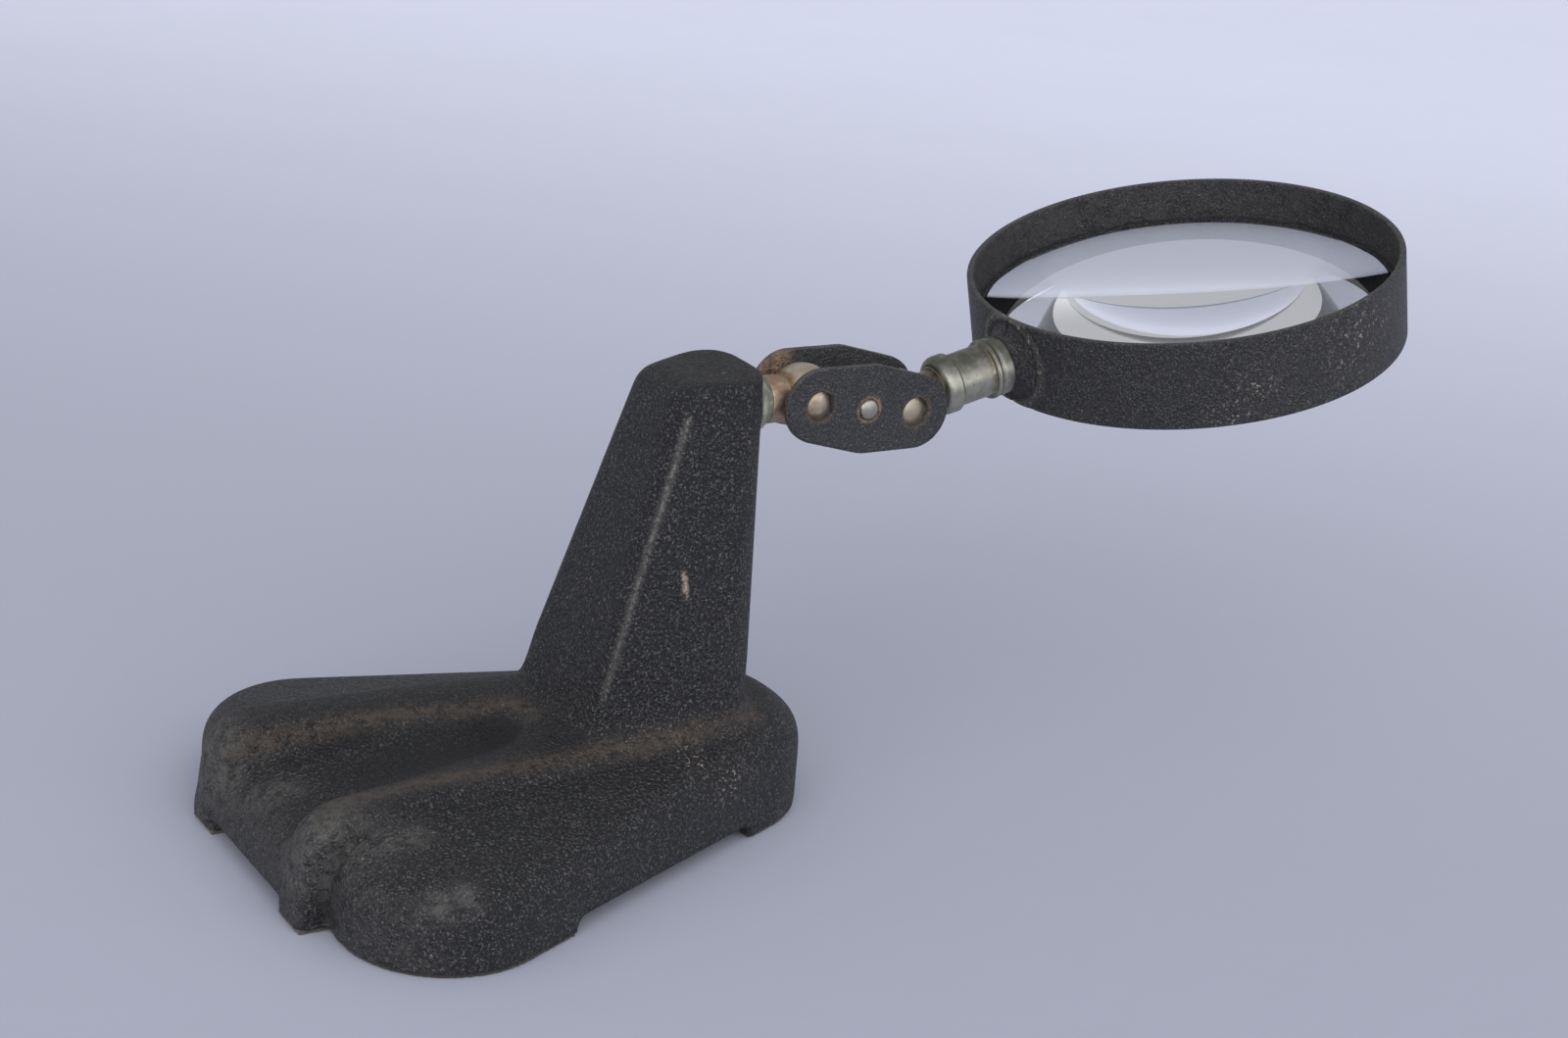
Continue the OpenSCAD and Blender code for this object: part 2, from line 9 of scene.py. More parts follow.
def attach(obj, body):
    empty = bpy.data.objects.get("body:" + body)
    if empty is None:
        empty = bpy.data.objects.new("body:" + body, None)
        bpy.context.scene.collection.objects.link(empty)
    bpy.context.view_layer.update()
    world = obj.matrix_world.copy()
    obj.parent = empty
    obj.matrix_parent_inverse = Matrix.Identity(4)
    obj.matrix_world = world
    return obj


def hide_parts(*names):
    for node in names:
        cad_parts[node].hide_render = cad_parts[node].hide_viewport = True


# A table magnifier on a pale floor: a cast foot and column in worn wrinkle enamel, a clamp
# link with two balls, and a lens in a band. Lengths are in metres, in the frame's own axes.
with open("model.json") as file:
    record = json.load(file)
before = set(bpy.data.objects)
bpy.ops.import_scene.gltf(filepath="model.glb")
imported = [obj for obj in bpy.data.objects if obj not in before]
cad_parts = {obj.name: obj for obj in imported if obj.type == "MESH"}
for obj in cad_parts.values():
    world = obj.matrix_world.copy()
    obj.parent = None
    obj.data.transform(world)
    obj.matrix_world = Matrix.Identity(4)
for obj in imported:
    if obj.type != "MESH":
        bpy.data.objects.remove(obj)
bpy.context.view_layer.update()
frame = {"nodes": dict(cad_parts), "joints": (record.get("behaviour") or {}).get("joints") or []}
MM = 0.001
NODES = frame["nodes"]
JOINTS = {joint["name"]: joint for joint in frame["joints"]}


def coords(node):
    """The vertices of a CAD node as an array."""
    mesh = NODES[node].data
    co = np.empty(len(mesh.vertices) * 3)
    mesh.vertices.foreach_get("co", co)
    return co.reshape(-1, 3)


def span(node, origin, axis):
    """The least and greatest distance of a CAD node from a point, along an axis."""
    along = (coords(node) - np.array(origin)) @ np.array(axis)
    return float(along.min()), float(along.max())


def reach(node, origin, axis):
    """The greatest radius of a CAD node about an axis."""
    rel = coords(node) - np.array(origin)
    flat = rel - np.outer(rel @ np.array(axis), np.array(axis))
    return float(np.sqrt((flat ** 2).sum(1)).max())


# Places that the frame gives: the two balls, the lens arm's direction and the lens's middle
BALL = Vector(JOINTS["link_swing"]["pos_m"])
LENS_BALL = Vector(JOINTS["lens_tilt"]["pos_m"])
ARM = Vector(JOINTS["lens_roll"]["axis"]).normalized()
ACROSS = Vector((0, 1, 0))
LENS_UP = ARM.cross(ACROSS).normalized()
FORWARD = Vector((1, 0, 0))
UP = Vector((0, 0, 1))
CENTRE = LENS_BALL + ARM * (span("ring_band", LENS_BALL, ARM)[1]
                            - span("ring_band", LENS_BALL, ACROSS)[1])
LENS_MIDDLE = CENTRE + LENS_UP * (sum(span("lens", CENTRE, LENS_UP)) / 2)

# Sizes of pieces that the visible meshes repeat
SHANK_R = 3 * MM
NECK_R = 5.6 * MM
LENS_NECK_R = 4.6 * MM
COLLAR_EDGE = 2.2 * MM
SLEEVE_R = 6.4 * MM
SLEEVE_T = 0.9 * MM
END_BAND_H = 0.8 * MM
BEAD_X = 4.2 * MM
BEAD_HALF = 0.95 * MM
BEAD_H = 1.0 * MM
SCREW_R = 2.45 * MM
HOLE_R = 3.5 * MM
BAND_T = 1.7 * MM
BAND_NECK_R = 6.3 * MM
FLARE_R = 9.6 * MM
LENS_EDGE = 1.3 * MM

# Camera: the photograph's view, with angles in degrees, lens and sensor in millimetres
CAMERA_PLACE = (-0.370812, -0.545750, 0.303875)
CAMERA_TURN = 32.93
CAMERA_PITCH = 19.962
CAMERA_ROLL = -5.174
CAMERA_LENS = 67.5
SENSOR = 36


def add_camera():
    turn, pitch, roll = (math.radians(a) for a in (CAMERA_TURN, CAMERA_PITCH, CAMERA_ROLL))
    ahead = Vector((math.sin(turn) * math.cos(pitch), math.cos(turn) * math.cos(pitch),
                    -math.sin(pitch)))
    level = Vector((math.cos(turn), -math.sin(turn), 0))
    below = ahead.cross(level)
    right = math.cos(roll) * level + math.sin(roll) * below
    down = -math.sin(roll) * level + math.cos(roll) * below
    camera = bpy.data.objects.new("camera", bpy.data.cameras.new("camera"))
    camera.data.sensor_width = SENSOR
    camera.data.lens = CAMERA_LENS
    camera.data.clip_start = 0.01
    camera.matrix_world = Matrix.Translation(CAMERA_PLACE) @ Matrix(
        [[right[i], -down[i], -ahead[i]] for i in range(3)]).to_4x4()
    bpy.context.scene.collection.objects.link(camera)
    bpy.context.scene.camera = camera


add_camera()


# Node trees
class Tree:
    """A short way to write a material's nodes."""

    def __init__(self, name):
        self.material = bpy.data.materials.new(name)
        self.material.use_nodes = True
        self.nodes = self.material.node_tree.nodes
        self.links = self.material.node_tree.links
        self.nodes.clear()
        self.out = self.nodes.new("ShaderNodeOutputMaterial")
        self.shader = self.nodes.new("ShaderNodeBsdfPrincipled")
        self.links.new(self.shader.outputs[0], self.out.inputs["Surface"])
        self.place = self.nodes.new("ShaderNodeTexCoord").outputs["Object"]

    def set(self, **values):
        for name, value in values.items():
            self.shader.inputs[name.replace("_", " ")].default_value = value

    def fill(self, socket, value):
        """Gives a socket a number, a colour or point, or another node's output."""
        if isinstance(value, (int, float)):
            socket.default_value = value
        elif isinstance(value, (tuple, Vector)):
            socket.default_value = (*value, 1)[:len(socket.default_value)]
        else:
            self.links.new(value, socket)

    def noise(self, scale, detail=4, rough=0.5, place=None, output="Fac"):
        node = self.nodes.new("ShaderNodeTexNoise")
        for key, value in (("Scale", scale), ("Detail", detail), ("Roughness", rough),
                           ("Vector", place or self.place)):
            self.fill(node.inputs[key], value)
        return node.outputs[output]

    def cells(self, scale, place=None):
        """Distance from the middle of the nearest of many small cells."""
        node = self.nodes.new("ShaderNodeTexVoronoi")
        self.fill(node.inputs["Scale"], scale)
        self.fill(node.inputs["Vector"], place or self.place)
        return node.outputs["Distance"]

    def vector(self, kind, first, second=None, output=0):
        node = self.nodes.new("ShaderNodeVectorMath")
        node.operation = kind
        self.fill(node.inputs[0], first)
        if second is not None:
            self.fill(node.inputs[1], second)
        return node.outputs[output]

    def warped(self, scale, amount):
        """The place, pushed about by a noise of the given scale."""
        push = self.vector("SUBTRACT", self.noise(scale, 3, output="Color"), (0.5, 0.5, 0.5))
        return self.vector("ADD", self.place,
                           self.vector("MULTIPLY", push, (amount, amount, amount)))

    def ramp(self, source, low, high, start=0.0, end=1.0):
        node = self.nodes.new("ShaderNodeMapRange")
        node.interpolation_type = "SMOOTHSTEP"
        for key, value in (("From Min", low), ("From Max", high), ("To Min", start),
                           ("To Max", end), ("Value", source)):
            self.fill(node.inputs[key], value)
        return node.outputs["Result"]

    def math(self, kind, first, second):
        node = self.nodes.new("ShaderNodeMath")
        node.operation = kind
        self.fill(node.inputs[0], first)
        self.fill(node.inputs[1], second)
        return node.outputs[0]

    def times(self, *values):
        product = values[0]
        for value in values[1:]:
            product = self.math("MULTIPLY", product, value)
        return product

    def mix(self, share, first, second):
        node = self.nodes.new("ShaderNodeMix")
        node.data_type = "RGBA"
        for index, value in ((0, share), (6, first), (7, second)):
            self.fill(node.inputs[index], value)
        return node.outputs[2]

    def streak(self, start, end, width):
        """A soft line between two points: 1 on the line and 0 at the given distance."""
        way = Vector(end) - Vector(start)
        rel = self.vector("SUBTRACT", self.place, Vector(start))
        along = self.vector("DOT_PRODUCT", rel, way.normalized(), "Value")
        off = self.vector("LENGTH", self.vector("CROSS_PRODUCT", rel, way.normalized()),
                          output="Value")
        return self.times(self.ramp(off, 0.0, width, 1.0, 0.0),
                          self.ramp(along, -width, width),
                          self.ramp(along, way.length - width, way.length + width, 1.0, 0.0))

    def attribute(self, name):
        node = self.nodes.new("ShaderNodeAttribute")
        node.attribute_name = name
        return node.outputs["Fac"]

    def colour(self, source):
        self.links.new(source, self.shader.inputs["Base Color"])

    def rough(self, source):
        self.links.new(source, self.shader.inputs["Roughness"])

    def bump(self, height, distance, strength=1.0):
        node = self.nodes.new("ShaderNodeBump")
        for key, value in (("Distance", distance), ("Strength", strength), ("Height", height)):
            self.fill(node.inputs[key], value)
        self.links.new(node.outputs[0], self.shader.inputs["Normal"])


# Colours. A pair runs from hollows to tops, from one patch to another, or from near to far.
# The pairs of blacks run from painted shade in the wrinkles' hollows to a painted highlight on
# their tops
BLACKS = (0.006, 0.006, 0.0072), (0.046, 0.045, 0.050)
PLATE_BLACKS = (0.020, 0.020, 0.023), (0.060, 0.060, 0.067)
BAND_BLACKS = (0.010, 0.010, 0.012), (0.050, 0.050, 0.056)
# The colour of painted glints
PAINTED_GLINT = (0.15, 0.149, 0.152)
# The near-black of painted shade
SHADE_BLACK = (0.006, 0.006, 0.007)
DUST = (0.125, 0.12, 0.11)
BROWN = (0.105, 0.078, 0.054)
BARE = (0.21, 0.20, 0.175)
CREAM = (0.46, 0.37, 0.27)
COPPER = (0.35, 0.225, 0.14)
# The dark of painted reflection and tarnish
REFLECTION_DARK_AND_TARNISH = (0.10, 0.10, 0.085)
FELT_DIRT = (0.035, 0.028, 0.02)
FELT_TANS = (0.16, 0.12, 0.07), (0.42, 0.34, 0.23)
GLASS_TINT = (0.985, 0.99, 0.985, 1)
GROUND_GREYS = (0.66, 0.68, 0.72), (0.80, 0.82, 0.85)
PAPER_SHADE_TONES = (0.44, 0.45, 0.535), (0.80, 0.82, 0.95)
PAPER_STAIN = (0.46, 0.47, 0.55)

# The way over the paper in which its painted shade fades and it gets paler, and the distances
# between which it does
PAPER_SHADE_WAY = (0.75, 0.66, 0)
PAPER_SHADE_DEPTH = (0.0, 1.0)


def enamel_grain(tree, grain):
    """The tops of the wrinkles, the unevenness between them, and painted glints."""
    granules = tree.cells(grain, tree.warped(grain * 0.7, 1.5 / grain))
    broad = tree.noise(grain * 0.35, 5, 0.7)
    tops = tree.times(tree.ramp(granules, 0.60, 0.12), tree.ramp(broad, 0.34, 0.60, 0.15, 1.0))
    fine = tree.noise(grain * 1.5, 4, 0.7)
    # Painted glints: light specks in the colour in place of highlights on the wrinkles
    specks = tree.noise(grain * 2.1, 3, 0.65, place=tree.warped(grain, 1 / grain))
    return tops, fine, tree.ramp(specks, 0.54, 0.64)


def enamel_wear(tree, look):
    """Lays painted shade, dust, brown and copper over a look, where a mesh is painted with them."""
    # Painted shade: the look darkened to near-black where a mesh is painted with it
    look = tree.mix(tree.times(tree.attribute("painted_shade"), 0.9), look, SHADE_BLACK)
    mottle = tree.ramp(tree.noise(320, 6, 0.8), 0.34, 0.62)
    look = tree.mix(tree.times(tree.attribute("dust"), mottle, 0.65), look, DUST)
    ragged = tree.ramp(tree.noise(420, 5, 0.75), 0.32, 0.60)
    look = tree.mix(tree.times(tree.attribute("worn"), ragged, 0.8), look, BROWN)
    return tree.mix(tree.times(tree.attribute("copper"), ragged, 0.9), look, COPPER)


def bare_edges(tree, lines):
    """Where the enamel is rubbed off: painted places, and lines with a bright broken core."""
    edge = tree.attribute("bare")
    for start, end, width in lines:
        soft = tree.times(tree.streak(start, end, width), 0.35)
        broken = tree.ramp(tree.noise(260, 4, 0.7), 0.46, 0.58)
        bright = tree.times(tree.streak(start, end, width * 0.4), broken, 0.9)
        edge = tree.math("MAXIMUM", edge, tree.math("ADD", soft, bright))
    return edge


def enamel_chips(tree, scratches):
    """Chips where a mesh is painted with them, a few strays anywhere, and scratches."""
    chips = tree.times(tree.attribute("chips"), tree.ramp(tree.noise(900, 3, 0.6), 0.59, 0.65), 0.9)
    stray = tree.times(tree.ramp(tree.cells(330, tree.warped(700, 0.002)), 0.13, 0.08),
                       tree.ramp(tree.noise(45, 2), 0.54, 0.64), 0.35)
    chips = tree.math("MAXIMUM", chips, stray)
    for start, end, width in scratches:
        scratch = tree.times(tree.streak(start, end, width),
                             tree.ramp(tree.noise(600, 3), 0.36, 0.52))
        chips = tree.math("MAXIMUM", chips, scratch)
    return chips


def wrinkle_enamel(name, grain, relief, blacks, lines=(), scratches=()):
    """Black wrinkle enamel: brown or bare where it is worn thin, grey where dust sits."""
    tree = Tree(name)
    tops, fine, glints = enamel_grain(tree, grain)
    # Painted shade in the hollows of the wrinkles and a painted highlight on their tops
    look = tree.mix(tree.times(tops, tree.ramp(fine, 0.40, 0.56)), *blacks)
    # Painted glints laid over the enamel's colour
    look = enamel_wear(tree, tree.mix(tree.times(glints, 0.7), look, PAINTED_GLINT))
    rubbed = tree.times(bare_edges(tree, lines), tree.ramp(fine, 0.25, 0.6, 0.4, 1.0))
    look = tree.mix(rubbed, look, BARE)
    tree.colour(tree.mix(enamel_chips(tree, scratches), look, CREAM))
    tree.rough(tree.ramp(fine, 0.3, 0.7, 0.45, 0.62))
    tree.bump(tree.math("ADD", tops, tree.times(fine, 1.2)), relief)
    tree.set(Specular_IOR_Level=0.4)
    return tree.material


def worn_metal(name, bright, dull, stain, rough=(0.28, 0.46), metal=0.9, pitted=0.00003):
    """Old plated metal. "painted_reflection_and_tarnish" darkens it, "stain" browns it and "copper"
    reddens it.
    """
    tree = Tree(name)
    patch = tree.ramp(tree.noise(170, 5, 0.6, place=tree.warped(400, 0.001)), 0.36, 0.64)
    look = tree.mix(patch, bright, dull)
    cloud = tree.ramp(tree.noise(380, 5, 0.7), 0.30, 0.62)
    # Painted dark reflection on the tops of the sleeve and collar, painted shade under them
    dark = tree.times(tree.attribute("painted_reflection_and_tarnish"), tree.math("ADD", tree.times(cloud, 0.45), 0.45))
    look = tree.mix(dark, look, REFLECTION_DARK_AND_TARNISH)
    look = tree.mix(tree.times(tree.attribute("copper"), cloud), look, COPPER)
    specks = tree.ramp(tree.cells(620, tree.warped(500, 0.0012)), 0.16, 0.08, 0.0, 0.7)
    stains = tree.math("MAXIMUM", tree.times(tree.attribute("stain"), cloud),
                       tree.times(specks, tree.ramp(tree.noise(120, 3), 0.45, 0.6)))
    tree.colour(tree.mix(stains, look, stain))
    tree.rough(tree.ramp(tree.noise(700, 5, 0.7), 0.3, 0.7, *rough))
    tree.set(Metallic=metal)
    tree.bump(tree.noise(1100, 5, 0.65), pitted)
    return tree.material


def felt(name):
    """Pressed felt, dark with dirt except where "tuft" marks clean tan fibres."""
    tree = Tree(name)
    fibres = tree.noise(900, 6, 0.7)
    clean = tree.mix(fibres, *FELT_TANS)
    tree.colour(tree.mix(tree.attribute("tuft"), FELT_DIRT, clean))
    tree.set(Roughness=1.0, Sheen_Weight=0.25, Sheen_Roughness=0.6)
    tree.bump(tree.noise(2400, 5, 0.7), 0.0003)
    return tree.material


def clear_glass(name):
    tree = Tree(name)
    tree.set(Base_Color=GLASS_TINT, Roughness=0.0, IOR=1.52, Transmission_Weight=1.0)
    return tree.material


def ground_glass(name):
    """The ground edge of the lens, a pale even surface."""
    tree = Tree(name)
    tree.colour(tree.mix(tree.noise(60, 4), *GROUND_GREYS))
    tree.set(Roughness=0.8)
    return tree.material


def paper(name):
    """Pale paper with painted shade, a little darker towards the viewer and to the left."""
    tree = Tree(name)
    depth = tree.vector("DOT_PRODUCT", tree.place, PAPER_SHADE_WAY, "Value")
    # Painted shade: darker towards the viewer and to the left, paler far off
    look = tree.mix(tree.ramp(depth, *PAPER_SHADE_DEPTH), *PAPER_SHADE_TONES)
    tree.colour(tree.mix(tree.times(tree.noise(14, 5, 0.6), 0.12), look, PAPER_STAIN))
    tree.set(Roughness=0.8)
    tree.bump(tree.noise(60, 6, 0.6), 0.0006, 0.3)
    return tree.material


# Places of wear on the casting and the band. A line is two ends and a width, a patch a point
# and a radius, and a run is a row of points.
COLUMN_EDGE = [(Vector((-0.0530, -0.0128, 0.1000)), Vector((-0.0735, -0.0184, 0.0370)), 0.0017)]
COLUMN_SCRATCH = [(Vector((-0.0538, -0.0175, 0.0655)), Vector((-0.0531, -0.0178, 0.0595)), 0.0013)]
CASTING_CHIPS = [((-0.0536, -0.0275, 0.0235), 0.0042), ((-0.0456, -0.0310, 0.0188), 0.0042)]
CASTING_DUST = [((-0.1460, 0.0250, 0.0160), 0.010), ((-0.1425, -0.0305, 0.0240), 0.0090),
                ((-0.1335, -0.0370, 0.0219), 0.0055), ((-0.1275, -0.0370, 0.0219), 0.0045),
                ((-0.1304, -0.0570, 0.0165), 0.0038), ((-0.1249, -0.0578, 0.0176), 0.0040),
                ((-0.1418, 0.0028, 0.0172), 0.006), ((-0.1475, -0.0265, 0.0170), 0.0085)]
WORN_LINES = [((-0.1425, -0.0270, 0.0250), (-0.1366, -0.0245, 0.0265), (-0.1214, -0.0229, 0.0269),
               (-0.1030, -0.0236, 0.0274), (-0.0836, -0.0231, 0.0277), (-0.0660, -0.0233, 0.0271),
               (-0.0533, -0.0220, 0.0274), (-0.0318, -0.0165, 0.0269)),
              ((-0.1451, 0.0192, 0.0206), (-0.1250, 0.0169, 0.0239), (-0.1044, 0.0144, 0.0251),
               (-0.0915, 0.0105, 0.0262), (-0.0832, 0.0080, 0.0277), (-0.0811, -0.0012, 0.0281))]
BAND_CHIPS = [((0.1041, -0.0532, 0.1194), 0.0085), ((0.1028, -0.0536, 0.1136), 0.0065),
              ((0.1118, -0.0512, 0.1206), 0.0055), ((0.0774, -0.0503, 0.1063), 0.0060),
              ((0.0746, -0.0485, 0.1000), 0.0050)]

ENAMEL = wrinkle_enamel("wrinkle_enamel", 850, 0.00065, BLACKS, COLUMN_EDGE, COLUMN_SCRATCH)
BAND_ENAMEL = wrinkle_enamel("band_enamel", 1150, 0.00042, BAND_BLACKS)
PLATE_ENAMEL = wrinkle_enamel("plate_enamel", 1200, 0.00040, PLATE_BLACKS)
NICKEL = worn_metal("worn_nickel", (0.39, 0.385, 0.33), (0.27, 0.265, 0.21), (0.11, 0.08, 0.04))
BALL_METAL = worn_metal("ball_nickel", (0.56, 0.50, 0.40), (0.42, 0.36, 0.27),
                        (0.18, 0.11, 0.055), (0.36, 0.55))
VERDIGRIS = worn_metal("corroded_collar", (0.42, 0.425, 0.35), (0.16, 0.165, 0.12),
                       (0.12, 0.10, 0.06), (0.5, 0.75), 0.45, 0.00025)
STEEL = worn_metal("plain_steel", (0.50, 0.50, 0.50), (0.36, 0.35, 0.34), (0.20, 0.13, 0.08))
FELT = felt("tan_felt")
GLASS = clear_glass("clear_glass")
GROUND_GLASS = ground_glass("ground_glass")
PAPER = paper("pale_paper")


# Pieces
def add_piece(name, mesh, material, body=None, nodes=()):
    piece = bpy.data.objects.new(name, mesh)
    bpy.context.scene.collection.objects.link(piece)
    mesh.materials.clear()
    mesh.materials.append(material)
    mesh.shade_smooth()
    if body:
        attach(piece, body)
    if nodes:
        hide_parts(*nodes)
    return piece


def grid_mesh(name, rows, closed_rows=False, closed_columns=False):
    """A mesh of quads through a grid of points; rows and columns may close on themselves."""
    rows = np.asarray(rows, float)
    count, width = rows.shape[:2]
    mesh = bpy.data.meshes.new(name)
    faces = []
    for i in range(count if closed_rows else count - 1):
        for j in range(width if closed_columns else width - 1):
            k, n = (i + 1) % count, (j + 1) % width
            faces.append((i * width + j, i * width + n, k * width + n, k * width + j))
    mesh.from_pydata(rows.reshape(-1, 3).tolist(), [], faces)
    mesh.update()
    if closed_rows and inside_out(mesh):
        mesh.flip_normals()
    return mesh


def inside_out(mesh):
    """Whether the faces of a closed mesh point inwards."""
    middle = sum((v.co for v in mesh.vertices), Vector()) / len(mesh.vertices)
    return sum((face.center - middle).dot(face.normal) * face.area for face in mesh.polygons) < 0


def arc(x, r, radius, start, end, steps=6):
    """Points of an outline on an arc about (x, r), from one angle to another in degrees."""
    angles = np.radians(np.linspace(start, end, steps + 1))
    return [(x + radius * math.cos(a), r + radius * math.sin(a)) for a in angles]


def lathe(name, outline, origin, axis, material, body, nodes, segments=128, lumps=0.0):
    """A turned piece: an outline of (distance, radius) points run round an axis."""
    axis = Vector(axis).normalized()
    side = axis.cross(ACROSS if abs(axis.y) < 0.9 else UP).normalized()
    other = axis.cross(side)
    rows = []
    for k in range(segments):
        turn = 2 * math.pi * k / segments
        out = side * math.cos(turn) + other * math.sin(turn)
        row = []
        for x, r in outline:
            point = Vector(origin) + axis * x + out * max(r, 1e-5)
            if lumps and r > SHANK_R:
                point -= out * lumps * (0.5 + noise.noise(point * 900))
            row.append(tuple(point))
        rows.append(row)
    mesh = grid_mesh(name, rows, closed_rows=True)
    return add_piece(name, mesh, material, body, nodes)


def dense(outline, gap):
    """An outline with points added so that none lie farther apart than the gap."""
    points = [outline[0]]
    for (x0, r0), (x1, r1) in zip(outline, outline[1:]):
        count = max(1, math.ceil(math.hypot(x1 - x0, r1 - r0) / gap))
        points += [(x0 + (x1 - x0) * i / count, r0 + (r1 - r0) * i / count)
                   for i in range(1, count + 1)]
    return points


def refined(name, node, voxel, passes, material, body):
    """A copy of a CAD node with its facets and hard edges worn round."""
    source = bpy.data.objects.new("source", NODES[node].data.copy())
    bpy.context.scene.collection.objects.link(source)
    remesh = source.modifiers.new("remesh", "REMESH")
    remesh.mode = "VOXEL"
    remesh.voxel_size = voxel
    smooth = source.modifiers.new("smooth", "SMOOTH")
    smooth.factor = 0.5
    smooth.iterations = passes
    graph = bpy.context.evaluated_depsgraph_get()
    mesh = bpy.data.meshes.new_from_object(source.evaluated_get(graph))
    bpy.data.objects.remove(source)
    mesh.name = name
    return add_piece(name, mesh, material, body, [node])


def points_of(mesh):
    co = np.empty(len(mesh.vertices) * 3)
    mesh.vertices.foreach_get("co", co)
    return co.reshape(-1, 3)


def normals_of(mesh):
    no = np.empty(len(mesh.vertices) * 3)
    mesh.vertex_normals.foreach_get("vector", no)
    return no.reshape(-1, 3)


def paint(mesh, name, values):
    """Stores one number per vertex, which a material reads by its name."""
    layer = mesh.attributes.new(name, "FLOAT", "POINT")
    layer.data.foreach_set("value", np.ascontiguousarray(values, np.float32))


class Net:
    """The edges of a mesh, for averages over each vertex's neighbours."""

    def __init__(self, mesh):
        edges = np.empty(len(mesh.edges) * 2, np.int64)
        mesh.edges.foreach_get("vertices", edges)
        self.a, self.b = edges.reshape(-1, 2).T
        self.size = len(mesh.vertices)
        self.count = np.maximum(np.bincount(edges, minlength=self.size), 1)

    def average(self, values):
        total = (np.bincount(self.a, values[self.b], self.size)
                 + np.bincount(self.b, values[self.a], self.size))
        return total / self.count

    def average_point(self, co):
        return np.stack([self.average(co[:, i]) for i in range(3)], 1)


def bulge(mesh):
    """How far each vertex stands out from its neighbours, in units of an edge's length."""
    co, no, net = points_of(mesh), normals_of(mesh), Net(mesh)
    size = np.linalg.norm(co[net.a] - co[net.b], axis=1).mean()
    out = ((co - net.average_point(co)) * no).sum(1) / size
    for _ in range(4):
        out = 0.5 * out + 0.5 * net.average(out)
    return out


def relax(mesh, share, passes):
    """Smooths a mesh further where the share is more than 0."""
    co, net = points_of(mesh), Net(mesh)
    for _ in range(passes):
        co += 0.5 * share[:, None] * (net.average_point(co) - co)
    mesh.vertices.foreach_set("co", co.ravel())
    mesh.update()


def step(values, low, high):
    """Runs smoothly from 0 at the low value to 1 at the high one."""
    share = np.clip((values - low) / (high - low), 0, 1)
    return share * share * (3 - 2 * share)


def patches(co, places):
    """Soft round patches: 1 at each (point, radius) and fading over the radius."""
    total = np.zeros(len(co))
    for point, radius in places:
        away = np.linalg.norm(co - np.array(point), axis=1)
        total = np.maximum(total, np.exp(-(away / radius) ** 2))
    return total


def along_lines(co, lines, width):
    """Soft lines: 1 on each run of points and fading over the width."""
    nearest = np.full(len(co), np.inf)
    for line in lines:
        for start, end in zip(np.array(line), np.array(line)[1:]):
            way = end - start
            share = np.clip((co - start) @ way / (way @ way), 0, 1)
            away = np.linalg.norm(co - start - share[:, None] * way, axis=1)
            nearest = np.minimum(nearest, away)
    return np.exp(-(nearest / width) ** 2)


# Casting. Each pair is where a soft change begins and ends. The creases are softened between
# the heights FOOT_LOW and FOOT_HIGH.
FOOT_LOW = (4 * MM, 9 * MM)
FOOT_HIGH = (32 * MM, 42 * MM)
TROUGH_SIDE = (20 * MM, 26 * MM)
BACK_X = (-45 * MM, -32 * MM)
BACK_Z = (97 * MM, 105 * MM)
BACK_LIFT = 1.3 * MM


def shape_casting(mesh):
    """Softens the creases between ribs, valley and lobes, and lifts the column's back edge."""
    co = points_of(mesh)
    on_foot = step(co[:, 2], *FOOT_LOW) * (1 - step(co[:, 2], *FOOT_HIGH))
    in_trough = 1 - step(np.abs(co[:, 1]), *TROUGH_SIDE)
    relax(mesh, on_foot, 9)
    relax(mesh, on_foot * in_trough, 22)
    co = points_of(mesh)
    co[:, 2] += BACK_LIFT * step(co[:, 0], *BACK_X) * step(co[:, 2], *BACK_Z)
    mesh.vertices.foreach_set("co", co.ravel())
    mesh.update()


def casting_dust(co, no):
    """Dust on the marked patches, and thinner on what faces the foot's front end."""
    at_front = 1 - step(co[:, 0], -120 * MM, -100 * MM)
    facing = step(-no[:, 0], 0.2, 0.8)
    return np.clip(patches(co, CASTING_DUST) + 0.4 * facing * at_front, 0, 1)


def casting_painted_shade(co, no, out):
    """Painted shade in the trough, in the creases beside the ribs and on level tops above the
    lobes.
    """
    on_foot = 1 - step(co[:, 2], 28 * MM, 34 * MM)
    trough = step(-out, -0.01, 0.02) * (1 - step(np.abs(co[:, 1] - 3 * MM), 9 * MM, 17 * MM))
    inland = step(co[:, 0], -135 * MM, -120 * MM) * (1 - step(co[:, 0], -86 * MM, -80 * MM))
    crease = step(-out, 0.01, 0.05) * step(np.abs(co[:, 1]), 27 * MM, 30 * MM)
    shaded_level_top = 0.5 * step(no[:, 2], 0.7, 1.0) * step(co[:, 2], 23 * MM, 25 * MM)
    return np.maximum(on_foot * np.maximum(trough * inland, crease), shaded_level_top)


def add_casting():
    piece = refined("casting", "base_casting", 0.9 * MM, 5, ENAMEL, "base")
    mesh = piece.data
    shape_casting(mesh)
    co, no, out = points_of(mesh), normals_of(mesh), bulge(mesh)
    paint(mesh, "worn", 0.75 * along_lines(co, WORN_LINES, 2.9 * MM))
    paint(mesh, "dust", casting_dust(co, no))
    paint(mesh, "chips", patches(co, CASTING_CHIPS))
    # Painted shade in the trough, in the creases and on level tops
    paint(mesh, "painted_shade", casting_painted_shade(co, no, out))


add_casting()


# Felts: each with how far it is drawn in under the casting, in millimetres, and how much of
# its clean fibre shows
FELTS = (("rib_foot_felts", 0.1, 0.25), ("lobe_felts", 0.5, 0.0), ("nose_felt", 0.5, 0.0))


